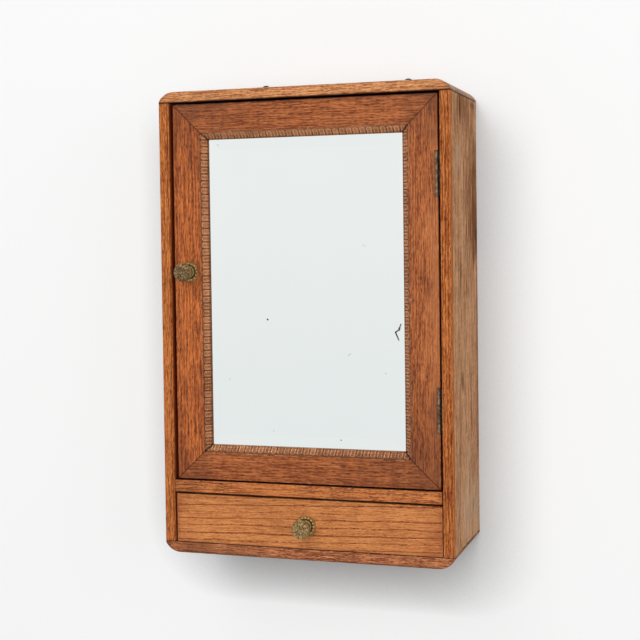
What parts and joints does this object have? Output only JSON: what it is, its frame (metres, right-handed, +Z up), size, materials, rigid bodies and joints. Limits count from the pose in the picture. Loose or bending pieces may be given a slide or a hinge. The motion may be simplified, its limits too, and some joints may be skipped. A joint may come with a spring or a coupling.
{
  "type": "shaving cabinet",
  "caption": "Wall-hung wooden shaving cabinet: a mirrored door with carved bead moulding and a turning latch, over a shallow drawer, with a shelf inside.",
  "frame": {"origin": "midway between the two hanger holes, on the wall plane that the back lies on", "axes": "+X to the right seen from the front, +Y into the wall so the front faces -Y, +Z up"},
  "size_m": [0.36, 0.173, 0.58],
  "materials": {
    "carcass_oak": "old oil-finished oak, satin",
    "door_oak": "reddish stained oak, satin varnish",
    "bead_oak": "carved moulding, worn stain",
    "drawer_oak": "golden figured oak, satin varnish",
    "inner_wood": "plain softwood, bare",
    "back_board": "thin panel, bare",
    "mirror_glass": "silvered glass with a bevelled edge",
    "aged_brass": "dark patinated stamped brass",
    "steel": "worn plain steel",
    "dark_iron": "blackened iron"
  },
  "bodies": {
    "carcass": {"side_left": "carcass_oak", "side_right": "carcass_oak", "top_board": "carcass_oak", "bottom_board": "carcass_oak", "divider_board": "carcass_oak", "back_panel": "back_board", "back_panel_nails": "dark_iron", "carcass_dowels": "inner_wood", "shelf": "inner_wood", "shelf_cleat_left": "inner_wood", "shelf_cleat_right": "inner_wood", "cleat_screws": "steel", "door_stop_strip": "inner_wood", "latch_keeper": "steel", "keeper_screws": "steel", "drawer_stop_blocks": "inner_wood", "hanger_plate_left": "dark_iron", "hanger_plate_right": "dark_iron", "hanger_screws": "dark_iron", "hinge_upper_side_leaf": "steel", "hinge_lower_side_leaf": "steel", "hinge_upper_pin": "steel", "hinge_lower_pin": "steel", "hinge_side_screws": "steel"},
    "door": {"door_stile_left": "door_oak", "door_stile_right": "door_oak", "door_rail_top": "door_oak", "door_rail_bottom": "door_oak", "door_mitre_dowels": "inner_wood", "bead_left": "bead_oak", "bead_right": "bead_oak", "bead_top": "bead_oak", "bead_bottom": "bead_oak", "mirror_glass": "mirror_glass", "mirror_backing": "back_board", "backing_strips": "inner_wood", "strip_pins": "steel", "hinge_upper_door_leaf": "steel", "hinge_lower_door_leaf": "steel", "hinge_door_screws": "steel", "door_knob_rosette": "aged_brass", "knob_bush": "aged_brass"},
    "latch": {"door_knob": "aged_brass", "latch_spindle": "steel", "latch_sleeve": "steel", "latch_tongue": "steel", "latch_nut": "steel"},
    "drawer": {"drawer_front": "drawer_oak", "drawer_side_left": "inner_wood", "drawer_side_right": "inner_wood", "drawer_back": "inner_wood", "drawer_bottom": "inner_wood", "drawer_nails": "dark_iron", "drawer_knob": "aged_brass", "drawer_knob_rosette": "aged_brass", "drawer_knob_screw": "steel"}
  },
  "joints": [
    {"name": "door_swing", "type": "hinge", "parent": "carcass", "child": "door", "pos_m": [0.1632, -0.1485, -0.2554], "axis": [0, 0, 1], "range_deg": [0, 115]},
    {"name": "latch_turn", "type": "hinge", "parent": "door", "child": "latch", "pos_m": [-0.1448, -0.137, -0.2307], "axis": [0, 1, 0], "range_deg": [0, 90]},
    {"name": "drawer_slide", "type": "slide", "parent": "carcass", "child": "drawer", "axis": [0, -1, 0], "range_m": [0, 0.09]}
  ]
}
